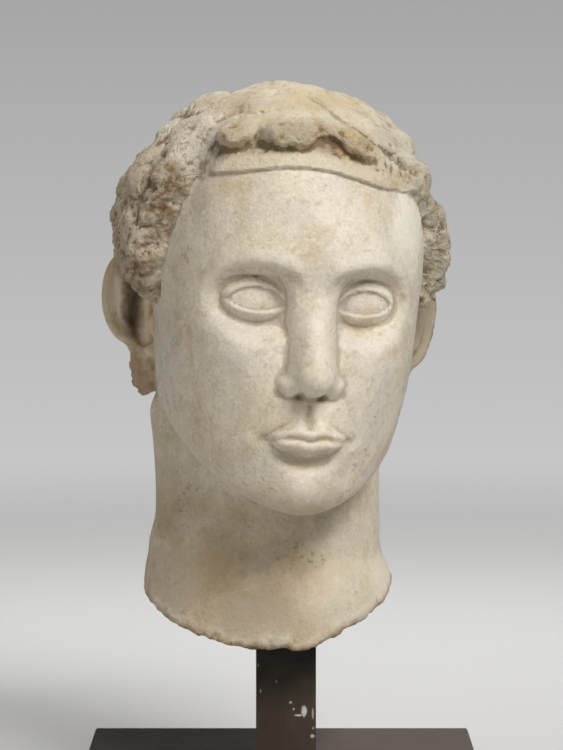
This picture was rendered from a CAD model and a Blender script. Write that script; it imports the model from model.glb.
import math
import numpy as np
import bpy
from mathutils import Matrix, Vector


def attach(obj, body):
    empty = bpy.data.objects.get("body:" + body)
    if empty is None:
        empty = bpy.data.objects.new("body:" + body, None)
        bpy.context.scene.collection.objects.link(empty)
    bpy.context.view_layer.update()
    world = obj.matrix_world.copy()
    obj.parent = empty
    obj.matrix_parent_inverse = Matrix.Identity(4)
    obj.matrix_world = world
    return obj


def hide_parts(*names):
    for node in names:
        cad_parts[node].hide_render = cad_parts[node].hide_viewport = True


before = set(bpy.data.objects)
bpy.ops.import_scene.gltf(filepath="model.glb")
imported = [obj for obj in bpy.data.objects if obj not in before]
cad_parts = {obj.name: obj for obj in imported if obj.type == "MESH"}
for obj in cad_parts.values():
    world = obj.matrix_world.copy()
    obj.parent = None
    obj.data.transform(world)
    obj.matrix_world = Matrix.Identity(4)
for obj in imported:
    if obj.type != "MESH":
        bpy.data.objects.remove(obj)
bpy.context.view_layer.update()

# A weathered marble head on a square post and a flat board. The head's surface is worked out here at a finer
# step than the solid it stands for, from the same named sizes. Millimetres up to the mesh, metres after it.

# ------------------------------------------------------------------ helpers
def clamp(x, a, b):
    return np.minimum(np.maximum(x, a), b)

def sstep(a, b, x):
    t = clamp((x - a) / (b - a), 0.0, 1.0)
    return t * t * (3 - 2 * t)

def smin(a, b, k):
    h = clamp(0.5 + 0.5 * (b - a) / k, 0.0, 1.0)
    return b + (a - b) * h - k * h * (1 - h)

def smax(a, b, k):
    return -smin(-a, -b, k)

def G(x, c, s):
    t = (x - c) / s
    return np.exp(-t * t)

def table(z, zs, vs):
    """Smooth curve through a short profile: cubic Hermite with three-point slopes, held flat past its ends."""
    zs = np.asarray(zs, float)
    vs = np.asarray(vs, float)
    n = len(zs)
    h = zs[1:] - zs[:-1]
    d = (vs[1:] - vs[:-1]) / h
    m = np.empty(n)
    m[0], m[-1] = d[0], d[-1]
    m[1:-1] = (d[:-1] * h[1:] + d[1:] * h[:-1]) / (h[1:] + h[:-1])
    zc = clamp(z, zs[0], zs[-1])
    i = np.clip(np.searchsorted(zs, zc, side="right") - 1, 0, n - 2)
    t = (zc - zs[i]) / h[i]
    t2, t3 = t * t, t * t * t
    return (
        (2 * t3 - 3 * t2 + 1) * vs[i]
        + (t3 - 2 * t2 + t) * h[i] * m[i]
        + (-2 * t3 + 3 * t2) * vs[i + 1]
        + (t3 - t2) * h[i] * m[i + 1]
    )

# ------------------------------------------------------------------ named sizes (mm, head frame: x right, d forward, z up from the chin)
EYE_Z = 138.0
EYE_X = 35.5
BROW_Z = 157.0
NOSE_Z = 78.0
MOUTH_Z = 52.5
CR_A, CR_B, CR_C = 91.0, 118.0, 104.0   # cranium half-axes
CR_D, CR_Z = -4.0, 172.0

def loft_depth_params(z):
    F = table(z, [-40, 0, 14, 30, 52, 78, 100, 120, 138, 160, 182, 210], [84, 98, 103, 105.5, 107.5, 108.5, 107.5, 105.5, 104.5, 106.5, 103, 88])
    W = table(z, [-40, 0, 12, 30, 52, 78, 108, 138, 160, 182, 210], [46, 56, 62, 69.5, 76, 81, 84.5, 85.5, 85, 81, 68])
    p = table(z, [-40, 0, 30, 52, 78, 108, 138, 160, 182, 210], [1.85, 1.9, 2.0, 2.12, 2.3, 2.45, 2.55, 2.4, 2.2, 2.0])
    return F, W, p

def base_depth(x, z):
    """Front surface of the plain head mask, as a depth over the x,z plane."""
    F, W, p = loft_depth_params(z)
    s = np.abs(x)
    u = clamp(s / W, 0, 0.995)
    dl = F * (1 - u ** p) ** (1 / p)
    q = clamp(1 - (x / CR_A) ** 2 - ((z - CR_Z) / CR_C) ** 2, 0.001, 1)
    dc = CR_D + CR_B * np.sqrt(q)
    dc = np.where(z > 120, dc, dc - (120 - z) * 1.2)
    return smax(dl, dc, 8.0)

# ------------------------------------------------------------------ face relief
def eye_parts(x, z):
    """Eyeball and lid surfaces, as depths, with how far a point is above the upper and below the lower lid edge."""
    s = np.abs(x)
    u = s - EYE_X
    v = z - EYE_Z
    # ball, turned a little outward
    q = clamp(1 - (u / 22.5) ** 2 - ((v - 0.8) / 18.0) ** 2, 0.0, 1)
    ell = 78.8 + 15.8 * np.sqrt(q) - 0.17 * u
    t = clamp((u + 18.5) / 37.0, 0, 1)
    arch = 4 * t * (1 - t)
    line = -2.0 + 2.6 * t
    vu = line + 9.6 * arch ** 0.72 * (1 + 0.22 * (0.5 - t))
    vl = line - 5.6 * arch ** 0.85 * (1 - 0.25 * (0.5 - t))
    return u, v, ell, t, vu, vl

def face_depth(x, z):
    s = np.abs(x)
    D0 = base_depth(x, z)
    D = D0.copy() if hasattr(D0, "copy") else D0

    # forehead: lower bar over the brows, faint dip above it
    D = D + 1.6 * G(z, 173, 13) * G(s, 18, 34) - 0.7 * G(z, 194, 10) * G(s, 0, 40)
    # brow ridge
    zb = table(s, [0, 10, 22, 38, 54, 66, 78], [152.5, 154.5, 158.5, 161.5, 159.0, 151.0, 140.0])
    D = D + (3.2 * G(z, zb + 4.5, 8.0)) * sstep(2, 16, s) * (1 - sstep(56, 74, s))
    # cheek bone and cheek
    D = D + 3.6 * G(s, 52, 17) * G(z, 108, 15)
    D = D + 2.0 * G(s, 34, 16) * G(z, 92, 17)
    D = D - 1.6 * G(s, 58, 14) * G(z, 74, 16)
    # muzzle
    D = D + 3.2 * sstep(34, 6, s) * G(z, 58, 20)

    # eye socket: falls from a crisp brow edge, deepest beside the nose root, and runs out on the cheek
    depth = table(s, [0, 9, 15, 24, 36, 48, 58, 68], [0, 3.5, 18.5, 17.5, 15.0, 11.0, 6.0, 0])
    top = sstep(2.5, -12.0, z - zb)
    zl0 = 119.0 + 0.012 * (s - 36) ** 2
    low = sstep(-11.0, 12.0, z - zl0)
    D = D - depth * top * low

    # eyeball, lids
    u, v, ell, t, vu, vl = eye_parts(x, z)
    inside = sstep(21.5, 16.0, np.abs(u))
    region = sstep(26.5, 19.5, np.abs(u))
    # upper lid: a band that follows the ball, with a crisp lower edge and a crease above it
    up = ell + 3.0 - 0.045 * clamp(v - vu, 0, 30) ** 1.6
    up = up - 4.4 * sstep(1.5, -2.0, v - vu)
    up = up + 0.55 * G(v, vu + 1.2, 1.3)
    lidu = up - 14 * (1 - region)
    # lower lid
    lo = ell + 2.3 - 0.02 * clamp(vl - v, 0, 30) ** 1.5
    lo = lo - 3.6 * sstep(1.4, -2.0, vl - v)
    lo = lo + 0.5 * G(v, vl - 1.2, 1.3)
    lidl = lo - 14 * (1 - region)
    socket = D
    # crease between the upper lid and the fold under the brow
    crease = vu + table(t, [0, 0.2, 0.5, 0.8, 1.0], [2.0, 4.8, 6.6, 5.6, 3.0])
    socket = socket - 1.6 * G(v, crease, 1.5) * inside
    E = smax(smax(socket, lidu, 1.6), lidl, 2.2)
    open_ = sstep(-1.8, 1.5, smin(vu - v, v - vl, 1.2)) * sstep(20.5, 16.0, np.abs(u))
    # inside the opening the ball shows, whatever lies over it
    E = E * (1 - open_) + ell * open_
    near = sstep(34, 25, np.abs(u)) * sstep(112, 122, z) * sstep(168, 160, z)
    D = D * (1 - near) + E * near
    # line where the upper lid runs past the outer corner
    # tear trough
    D = D - 0.9 * G(z - (124 - 0.18 * (s - 22)), 0, 3.0) * sstep(12, 18, s) * sstep(52, 40, s)

    # nose
    n = table(z, [66, 76, 80, 85, 91, 97, 106, 120, 134, 147, 160, 176, 200], [98, 104, 117, 128.5, 133.0, 132.5, 128.5, 122.0, 115.5, 112.0, 112.5, 108, 70])
    w2 = table(z, [66, 76, 84, 92, 100, 112, 126, 140, 150, 162, 176], [14.0, 15.0, 18.0, 18.5, 17.5, 17.0, 16.5, 16.5, 20.0, 32.0, 44.0])
    root = D0 - 9.0
    tt = s / w2
    N = root + (n - root) * clamp(1 - tt ** 1.75, 0, 1) ** 0.60 - 12.0 * clamp(tt - 1, 0, 4)
    # wings and ball of the tip
    q = clamp(1 - ((s - 13.2) / 8.6) ** 2 - ((z - 86.0) / 8.6) ** 2, 0, 1)
    wing = 102.5 + 14.0 * np.sqrt(q) - 300 * (q <= 0)
    q2 = clamp(1 - (x / 11.5) ** 2 - ((z - 91.0) / 11.5) ** 2, 0, 1)
    ball = 121.0 + 13.0 * np.sqrt(q2) - 300 * (q2 <= 0)
    N = smax(N, ball, 5.0)
    N = smax(N, wing, 7.0)
    # groove round the wing
    D = D - 0.8 * G(np.hypot((s - 13.0) / 10.2, (z - 86.0) / 10.4), 1.0, 0.2) * sstep(8, 16, s) * sstep(72, 82, z)
    D = smax(D, N, 4.0)

    # nostrils, shallow
    D = D - 7.0 * G(s, 7.2, 3.2) * G(z, 79.3, 2.6)

    # groove under the nose
    D = D - 1.1 * G(x, 0, 3.0) * G(z, 67.5, 7.0) + 0.7 * G(s, 5.6, 2.4) * G(z, 67, 7)
    # fold from the wing to the mouth corner, faint
    D = D - 0.9 * G(s - (20 + 0.50 * (84 - z)), 0, 4.0) * sstep(52, 62, z) * sstep(88, 80, z)

    # mouth
    mt = clamp(s / 27.0, 0, 1.4)
    zm = MOUTH_Z - 0.9 * G(x, 0, 4.5) + 0.9 * G(s, 9, 6) - 1.0 * mt ** 2
    zt = zm + table(mt, [0, 0.12, 0.22, 0.5, 0.8, 1.0, 1.4], [8.4, 9.4, 10.0, 7.6, 3.8, 0.8, 0.0])
    zl = zm - table(mt, [0, 0.3, 0.6, 0.85, 1.0, 1.4], [12.0, 11.6, 9.0, 4.4, 0.8, 0.0])
    wide = sstep(1.06, 0.80, mt)
    tu = clamp((z - zm) / np.maximum(zt - zm, 0.6), 0, 1.6)
    upper = (6.4 * (1 - sstep(0.15, 1.2, tu)) + 0.7 * G(tu, 1.0, 0.28)) * wide * sstep(-1.6, 0.6, z - zm)
    upper = upper + 0.8 * G(x, 0, 6) * G(z, zm + 3, 3)
    tl = clamp((zm - z) / np.maximum(zm - zl, 0.6), 0, 1.6)
    lower = 6.6 * np.sin(clamp(tl + 0.16, 0, 1.16) * np.pi / 1.16) ** 0.85 * sstep(1.02, 0.62, mt) * sstep(-1.2, 0.9, zm - z)
    D = D + upper + lower
    # line of the lips and the dimples at their ends
    D = D - 3.2 * G(z, zm, 1.6) * sstep(1.14, 0.85, mt)
    D = D - 1.8 * G(s, 29.0, 4.2) * G(z, 51.0, 4.6)
    D = D + 0.8 * G(s, 37, 6.0) * G(z, 51, 11)
    # hollow under the lower lip, and the chin
    D = D - 3.8 * G(z - 36.5 - 0.010 * s * s, 0, 4.8) * sstep(26, 8, s)
    D = D + 4.2 * G(s, 0, 17) * G(z, 18, 12.5)
    return D, D0

# ------------------------------------------------------------------ solid fields (negative inside)
def f_cranium(x, d, z):
    g = np.sqrt((x / CR_A) ** 2 + ((d - CR_D) / CR_B) ** 2 + ((z - CR_Z) / CR_C) ** 2)
    r = np.sqrt(x * x + (d - CR_D) ** 2 + (z - CR_Z) ** 2)
    return r * (1 - 1 / np.maximum(g, 1e-3))

def f_loft(x, d, z):
    F, W, p = loft_depth_params(z)
    B = 62.0
    dd = np.where(d > 0, d / F, -d / B)
    g = (np.abs(x / W) ** p + np.abs(dd) ** p) ** (1 / p)
    r = np.hypot(x, d)
    f = np.where(g > 1e-3, r * (1 - 1 / np.maximum(g, 1e-3)), -B)
    f = smax(f, (z - 206), 6.0)
    zj = 47.0 * (96 - d) / 82.0 - 3.5
    f = smax(f, (zj - z) * 0.87, 17.0)
    return f

# ------------------------------------------------------------------ ears
EAR_OUT = (0.545, 0.66)      # how far each ear leans out: right, left
EAR_X, EAR_Z = (88.0, 88.5), (108.0, 117.0)

def ear_local(x, d, z):
    out = []
    for side in (0, 1):
        c = EAR_OUT[side]
        px, pd, pz = np.abs(x) - EAR_X[side], d + 16.0, z - EAR_Z[side]
        eu = np.array([c, -np.sqrt(1 - c * c), 0.0])
        ew = np.array([0.215, -0.13, 0.97]); ew = ew - eu * ew.dot(eu); ew /= np.linalg.norm(ew)
        en = np.array([ew[2] * eu[1] - ew[1] * eu[2], ew[0] * eu[2] - ew[2] * eu[0], ew[1] * eu[0] - ew[0] * eu[1]])
        if en[0] < 0: en = -en
        out.append([px * e[0] + pd * e[1] + pz * e[2] for e in (eu, ew, en)])
    return [np.where(x < 0, l, r) for r, l in zip(*out)]

def ell2(u, w, cu, cw, a, b):
    g = np.sqrt(((u - cu) / a) ** 2 + ((w - cw) / b) ** 2)
    r = np.hypot(u - cu, w - cw)
    return np.where(g > 1e-3, r * (1 - 1 / np.maximum(g, 1e-3)), -np.minimum(a, b))

def f_ear(x, d, z):
    u, w, n = ear_local(x, d, z)
    left = x < 0
    o = smin(ell2(u, w, 13, 16, 21, 33), ell2(u, w, 3.5, np.where(left, -30.5, -27.0), 12.5, np.where(left, 21.0, 17.0)), 9.0)
    rear = sstep(-8, 4, u + 0.25 * w)
    up = sstep(-26, -8, w)
    H = 1.5 + 0.006 * (u - 4) ** 2 + 3.6 * G(o, -3.6, 3.2) * np.maximum(up * rear, sstep(14, 30, w)) * 1.0
    H = H - 2.4 * G(o, -9.5, 3.2) * sstep(-14, 4, w) * sstep(0, 10, u)
    H = H + 2.8 * G(o, -15.5, 3.6) * sstep(0, 9, u) * sstep(-16, -4, w) * sstep(34, 20, w)
    H = H + 1.8 * G(u, 4, 9) * G(w, -28, 12)
    B = 0.004 * (u - 4) ** 2 - 6.0
    # the lobe on the viewer's left is broken and rough
    torn = sstep(-17, -27, w) * (x < 0)
    o = o + torn * (1.6 + 2.2 * noise3(x / 5.5, d / 5.5, z / 5.5, 41))
    H = H + torn * 1.3 * noise3(x / 4.2 + 7, d / 4.2, z / 4.2, 42)
    f = smax(n - H, B - n, 3.0)
    return smax(f, o + 0.6, 3.5)

def f_concha(x, d, z):
    u, w, n = ear_local(x, d, z)
    n2 = n - 2.0
    q = np.sqrt(((u - 2.0) / 10.5) ** 2 + ((w - 4.0) / 21.0) ** 2 + (n2 / 12.5) ** 2)
    r = np.sqrt((u - 2) ** 2 + (w - 4) ** 2 + n2 ** 2)
    f = r * (1 - 1 / np.maximum(q, 1e-3))
    # a thin wall is left behind the hollow
    return np.maximum(f, -1.6 - 10.4 * sstep(0, -8, u) - n)

def f_tragus(x, d, z):
    u, w, n = ear_local(x, d, z)
    q = np.sqrt(((u + 7.5) / 4.6) ** 2 + ((w + 1.0) / 7.5) ** 2 + ((n - 0.5) / 5.0) ** 2)
    r = np.sqrt((u + 7.5) ** 2 + (w + 1) ** 2 + (n - 0.5) ** 2)
    return r * (1 - 1 / np.maximum(q, 1e-3))

# ------------------------------------------------------------------ hair
HAIR_A, HAIR_B, HAIR_C, HAIR_D, HAIR_Z = 111.0, 130.0, 111.5, -8.0, 168.0
CROWN = (0.0, -0.30, 0.954)

def hash1(i, j, k=0):
    i = np.asarray(i, np.int64); j = np.asarray(j, np.int64)
    h = (i * 374761393 + j * 668265263 + (k * 974634777 + 1013904223)) & 0xFFFFFFFF
    h = ((h ^ (h >> 13)) * 1274126177) & 0xFFFFFFFF
    h = (h ^ (h >> 16)) & 0xFFFFFFFF
    h = ((h ^ (h >> 11)) * 69069) & 0xFFFFFFFF
    return ((h >> 8) & 0xFFFF) / 65535.0

def noise3(x, y, z, seed=0):
    """Smooth value noise, -1..1."""
    ix, iy, iz = np.floor(x), np.floor(y), np.floor(z)
    fx, fy, fz = x - ix, y - iy, z - iz
    fx, fy, fz = (t * t * (3 - 2 * t) for t in (fx, fy, fz))
    ix, iy, iz = ix.astype(np.int64), iy.astype(np.int64), iz.astype(np.int64)
    def h(a, b, c):
        return hash1(ix + a + 157 * (iz + c), iy + b + 311 * (iz + c), seed)
    def l(a, b, t):
        return a + (b - a) * t
    v = l(l(l(h(0, 0, 0), h(1, 0, 0), fx), l(h(0, 1, 0), h(1, 1, 0), fx), fy),
          l(l(h(0, 0, 1), h(1, 0, 1), fx), l(h(0, 1, 1), h(1, 1, 1), fx), fy), fz)
    return 2 * v - 1

def hairline(th):
    """Height of the hair's edge round the head; th in degrees, 0 at the face, positive to +x."""
    return table(th, [-180, -150, -136, -126, -114, -100, -90, -84, -77, -70, -63, -58, -51, -40, -30, -20, -9, 4, 14, 25, 38, 50, 60, 66, 72, 77, 84, 90, 100, 114, 126, 136, 150, 180],
                 [44, 50, 74, 118, 158, 166, 150, 130, 134, 152, 178, 196, 212, 217, 218.5, 221, 223, 221.5, 217.5, 213, 211.5, 209, 203, 192, 168, 142, 130, 150, 166, 158, 118, 74, 50, 44])

# the worn row of front locks: degrees round the head, how far it stands out, and the height of its lower edge (mm)
FRONT_AT = [-50, -45, -41, -35, -29, -25.5, -22, -13, -4, 2, 6, 11, 17, 22, 27]
FRONT_OUT = [0, 2.6, 6.8, 8, 6, 2.2, 6, 7.6, 6.4, 3.6, 4.4, 7.2, 7.8, 4, 0]
FRONT_EDGE = [239, 237, 235.5, 235, 237, 240, 238, 236, 237.5, 243.5, 243, 236, 232.5, 231, 231]
FRONT_TALL = [10, 12, 14, 15, 14, 11, 15, 19, 18, 12, 11, 16, 17, 14, 12]
LOCK_STEP, LOCK_WIDE = 23.0, 24.0
# bulges and a hollow that give the hair its uneven outline: x, d, z, how far out, reach (mm, head frame)
SWELLS = [(106, 18, 178, 4.5, 17), (107, 10, 148, 3.0, 13), (98, 15, 203, -3.5, 9), (-50, -4, 277, -5.5, 15),
          (64, 12, 260, 5.0, 16), (-20, -6, 282, 2.0, 12)]

def locks(x, d, z):
    """Height of the side, crown and back locks over their bed: low worn tongues that run away from the crown."""
    px, pd, pz = x, d + 8.0, z - 165.0
    r = np.sqrt(px * px + pd * pd + pz * pz) + 1e-6
    cz = (pd * CROWN[1] + pz * CROWN[2]) / r
    cf = (pd * CROWN[2] - pz * CROWN[1]) / r
    cx = px / r
    be = np.arccos(clamp(cz, -1, 1))
    al = np.arctan2(cx, cf)
    R = 113.0
    b = be * R + 4.0 * noise3(px / 30, pd / 30, pz / 30, 5)
    sb = np.maximum(np.sin(be), 0.12)
    best = np.zeros_like(px)
    r0 = np.floor(b / LOCK_STEP)
    for dr in (-1, 0, 1):
        row = r0 + dr
        bc = (row + 0.5) * LOCK_STEP
        nrow = np.maximum(np.round(2 * np.pi * R * np.sin(np.clip(bc / R, 0.12, 2.6)) / LOCK_WIDE), 4)
        dl = 2 * np.pi / nrow
        off = 0.5 * np.mod(row, 2)
        base = np.floor(al / dl - off)
        for dk in (-1, 0, 1):
            k = base + dk
            kk = np.mod(k, nrow)
            h1, h2, h3, h4 = (hash1(kk, row, q) for q in (1, 2, 3, 4))
            ac = (k + off + 0.5 + 0.55 * (h1 - 0.5)) * dl
            a = (al - ac) * R * sb
            bb = b - bc - 11.0 * (h2 - 0.5)
            turn = (h3 - 0.5) * 2.2
            ct, st = np.cos(turn), np.sin(turn)
            a2 = a * ct - bb * st
            b2 = a * st + bb * ct
            a2 = a2 + (h4 - 0.5) * 0.05 * b2 * b2
            la = 9.0 + 5.0 * h2
            lb = np.where(b2 < 0, 18.0 + 6 * h4, 13.0)
            q = (a2 / la) ** 2 + (b2 / lb) ** 2
            hh = (2.2 + 5.6 * h1) * clamp(1 - q, 0, 1) ** 0.62 * (1.0 - 0.35 * clamp(-b2 / 22, 0, 1))
            best = smax(best, hh, 1.6)
    return best * sstep(6, 34, b)

def wear(x, d, z, th, h):
    """How much of the locks is left: little on the plane over the forehead and down the smooth channel."""
    top = sstep(62, 40, np.abs(th - 4)) * sstep(44, 54, h)
    w = 1 - 0.55 * top
    w = w * (0.50 + 0.50 * sstep(-0.5, 0.45, noise3(x / 27 + 4, d / 27, z / 27, 6)))
    w = w * (1 - 0.2 * sstep(-90, -74, th) * sstep(-44, -54, th))
    w = w * (1 + 0.5 * sstep(-25, -40, th) * sstep(246, 258, z) + 0.5 * sstep(54, 62, th) * sstep(104, 88, th))
    g = (th + 51.5) * 1.6 + (236 - z) * 0.16
    return w, G(g, 0, 9.5) * sstep(204, 220, z) * sstep(268, 250, z) * (x < 0)

def hair_T(x, d, z):
    """Thickness of the hair over the skin."""
    th = np.degrees(np.arctan2(x, d))
    h = z - hairline(th)
    h = h + 3.0 * noise3(x / 8 + 2, d / 8, z / 8, 9) * sstep(46, 62, np.abs(th))
    q0, q1, q2 = (x / HAIR_A) ** 2, ((d - HAIR_D) / HAIR_B) ** 2, ((z - HAIR_Z) / HAIR_C) ** 2
    qs = q0 + q1 + q2 + 1e-6
    full = (20.0 * q0 + 14.0 * q1 + 7.0 * q2) / qs
    # the mass of hair stands a little to the viewer's left
    side = x / np.sqrt(x * x + (d + 8) ** 2 + (z - 165) ** 2 + 1)
    full = full - np.where(side < 0, 6.0, 1.5) * side + 2.5 * sstep(-30, -80, x) * sstep(236, 204, z) * sstep(110, 140, z)
    full = full - 1.8 * sstep(54, 62, th) * sstep(104, 88, th)
    front = sstep(56, 40, np.abs(th))
    low = sstep(60, 20, z)
    full = full * (1 - 0.6 * low)
    w, channel = wear(x, d, z, th, h)
    # the edge: a thin smooth band over the forehead, a soft worn slope at the temples
    start = 3.1 * front * (1 - 0.85 * channel) * (1 - 0.6 * sstep(22, 34, th)) + 1.4 * (1 - front)
    ramp = sstep(14, 30, h) * front + sstep(-4, 22, h) * (1 - front)
    T = start + (full - 4.0 - start) * ramp
    L = locks(x, d, z)
    lock_on = (front * sstep(34, 46, h) + (1 - front) * sstep(0, 10, h)) * w * (1 - 0.9 * channel)
    T = T + (L - 1.5) * lock_on
    # the row of front locks: steep below, running out into the plane above
    out = table(th, FRONT_AT, FRONT_OUT) + 2.2 * noise3(th / 5.0, z / 8.0, 0 * z, 8)
    v = z - table(th, FRONT_AT, FRONT_EDGE) + 1.5 * noise3(th / 3.6, z / 12, 0 * z, 10)
    tall = table(th, FRONT_AT, FRONT_TALL)
    body = sstep(-1.8, 3.4, v) * (1 - 0.9 * sstep(0.62 * tall, 1.25 * tall, v))
    T = T + out * body * front * sstep(-50, -44, th) * sstep(27, 23, th)
    # groove from the crown down between the front locks and the side hair
    ridge = (th - 23.5) - (244.7 - z) * (27.6 / 20.2) * np.where(z < 244.7, 1.0, 0.6)
    T = T - 2.6 * G(ridge, 0, 3.2) * sstep(218, 228, z) * sstep(276, 262, z) * (x > 0)
    # smooth channel on the other side
    T = T - 4.6 * channel
    T = T + 1.3 * noise3(x / 13, d / 13, z / 13, 3) * sstep(10, 30, h) * (1 - 0.8 * channel)
    for (sx, sd, sz, out, reach) in SWELLS:
        T = T + out * np.exp(-((x - sx) ** 2 + (d - sd) ** 2 + (z - sz) ** 2) / reach ** 2)
    soft = 1.3 + 4.5 * (1 - front) + 3.0 * channel
    mask = sstep(-soft, soft, h)
    # under the bare skin the hair's bed runs well inside
    return -4 + (T + 4) * mask - 26 * sstep(-3, -20, h)

# ------------------------------------------------------------------ pose in the object's frame: x right, y back, z up, origin under the board
YAW, ROLL = np.radians(11.0), np.radians(3.0)
PIV = (-8.0, 15.0, 237.0)     # object frame
PIV_C = (0.0, -20.0, 40.0)    # head frame (x, d, z)

def to_head(x, y, z):
    px, py, pz = x - PIV[0], y - PIV[1], z - PIV[2]
    c, s = np.cos(YAW), np.sin(YAW)
    qx, qy = c * px + s * py, -s * px + c * py
    c, s = np.cos(ROLL), np.sin(ROLL)
    rx, rz = c * qx - s * pz, s * qx + c * pz
    return rx + PIV_C[0], -qy + PIV_C[1], rz + PIV_C[2]

def to_object(x, d, z):
    x, d, z = x - PIV_C[0], d - PIV_C[1], z - PIV_C[2]
    c, s = np.cos(ROLL), np.sin(ROLL)
    qx, qz = c * x + s * z, -s * x + c * z
    qy = -d
    c, s = np.cos(YAW), np.sin(YAW)
    return c * qx - s * qy + PIV[0], s * qx + c * qy + PIV[1], qz + PIV[2]

NECK_X = -9.5
def f_neck(x, y, z):
    yc = table(z, [90, 150, 200, 240, 310], [27, 22, 20, 20, 24])
    a = table(z, [90, 118, 137, 157, 190, 237, 310], [93, 88, 83, 77, 75.5, 75, 72])
    b = table(z, [90, 118, 137, 157, 200, 237, 310], [83, 78, 74, 69, 65.5, 64, 60])
    px, py = x - NECK_X, y - yc
    a = a + 3.5 * sstep(172, 146, z) * sstep(0, 30, px)
    a = a + 4.5 * sstep(190, 168, z) * (1 - 0.65 * sstep(156, 136, z)) * sstep(0, -30, px)
    g = (np.abs(px / a) ** 2.2 + np.abs(py / b) ** 2.2) ** (1 / 2.2)
    r = np.hypot(px, py)
    f = r * (1 - 1 / np.maximum(g, 1e-3))
    f = smax(f, z - 300, 8.0)
    # muscles from behind the ears towards the pit of the neck
    t = (237 - z) / 100.0
    for sgn in (-1, 1):
        ax = sgn * (60 - 26 * t) + 0.0
        ym = -14 - 14 * t
        rr = np.hypot(px - ax, (y - 22 - ym)) - 11.0
        f = smin(f, smax(rr, z - 262, 14), 16.0)
    return f

def f_break(x, y, z):
    k = np.where(x < -2, 0.0030, 0.005)
    zb = 105 + k * (x + 2) ** 2 + 0.10 * (y + 50)
    zb = zb + 2.6 * noise3(x / 19, y / 19, z * 0 + 3.3, 21) + 1.2 * noise3(x / 7, y / 7, z * 0 + 1.7, 22)
    return (zb - z) * 0.95

def f_all(x, y, z):
    hx, hd, hz = to_head(x, y, z)
    D, D0 = face_depth(hx, hz)
    m = sstep(79, 64, np.abs(hx)) * sstep(18, 46, hd)
    d2 = hd - (D - D0) * m
    skin = smin(f_loft(hx, d2, hz), f_cranium(hx, d2, hz), 9.0)
    neck = f_neck(x, y, z)
    f = smin(skin, neck, 9.0)
    # ears
    f = smin(f, f_ear(hx, hd, hz), 4.0)
    f = smax(f, -f_concha(hx, hd, hz), 2.0)
    f = smin(f, f_tragus(hx, hd, hz), 2.5)
    base = smin(smin(f_loft(hx, hd, hz), f_cranium(hx, hd, hz), 9.0), neck, 9.0)
    hair = base - hair_T(hx, hd, hz)
    f = smin(f, hair, 1.0)
    return smax(f, f_break(x, y, z), 2.5)

# ------------------------------------------------------------------ surface of a field

def field_grid(f, th, zz, rr, ax=0.0, ay=0.0, block=400000, stride=(4, 4), rstep=3):
    """Values of f on a cylindrical grid, exact near the surface and only signed elsewhere."""
    nt, nz, nr = len(th), len(zz), len(rr)
    ct, st = np.cos(th), np.sin(th)
    # coarse pass
    it = np.arange(0, nt, stride[0])
    iz = np.unique(np.concatenate([np.arange(0, nz, stride[1]), [nz - 1]]))
    ir = np.unique(np.concatenate([np.arange(0, nr, rstep), [nr - 1]]))
    T, Z, R = np.meshgrid(it, iz, ir, indexing="ij")
    x = ax + rr[R] * st[T]
    y = ay - rr[R] * ct[T]
    v = eval_blocks(f, x.ravel(), y.ravel(), zz[Z].ravel(), block).reshape(T.shape)
    inside = v < 0
    any_in = inside.any(2)
    first_out = np.where(any_in, np.argmax(~inside, axis=2), 0)     # first r index that is outside
    last_in = np.where(any_in, inside.shape[2] - 1 - np.argmax(inside[:, :, ::-1], axis=2), 0)
    lo = ir[np.maximum(first_out - 1, 0)]
    hi = ir[np.minimum(last_in + 1, len(ir) - 1)]
    lo = np.where(any_in, lo, 0)
    hi = np.where(any_in, hi, 0)
    # widen by neighbours
    def spread(a, op):
        for ax_ in (0, 1):
            if ax_ == 0:
                b = op(op(np.roll(a, 1, 0), np.roll(a, -1, 0)), a)
            else:
                p = np.pad(a, ((0, 0), (1, 1)), mode="edge")
                b = op(op(p[:, 2:], p[:, :-2]), a)
            a = b
        return a
    lo, hi = spread(lo, np.minimum), spread(hi, np.maximum)
    pad = 6
    kt = np.minimum((np.arange(nt) / stride[0]).round().astype(int), len(it) - 1)
    kz = np.abs(np.arange(nz)[:, None] - iz[None, :]).argmin(1)
    LO = np.maximum(lo[kt][:, kz] - pad, 0)
    HI = np.minimum(hi[kt][:, kz] + pad, nr - 1)
    k = np.arange(nr)
    act = (k[None, None, :] >= LO[:, :, None]) & (k[None, None, :] <= HI[:, :, None])
    out = np.where(k[None, None, :] < LO[:, :, None], -50.0, 50.0).astype(np.float32)
    idx = np.nonzero(act)
    x = ax + rr[idx[2]] * st[idx[0]]
    y = ay - rr[idx[2]] * ct[idx[0]]
    out[idx] = eval_blocks(f, x, y, zz[idx[1]], block)
    return out, len(x)

def eval_blocks(f, x, y, z, block=400000):
    o = np.empty(len(x))
    for a in range(0, len(x), block):
        o[a:a + block] = f(x[a:a + block], y[a:a + block], z[a:a + block])
    return o

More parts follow.
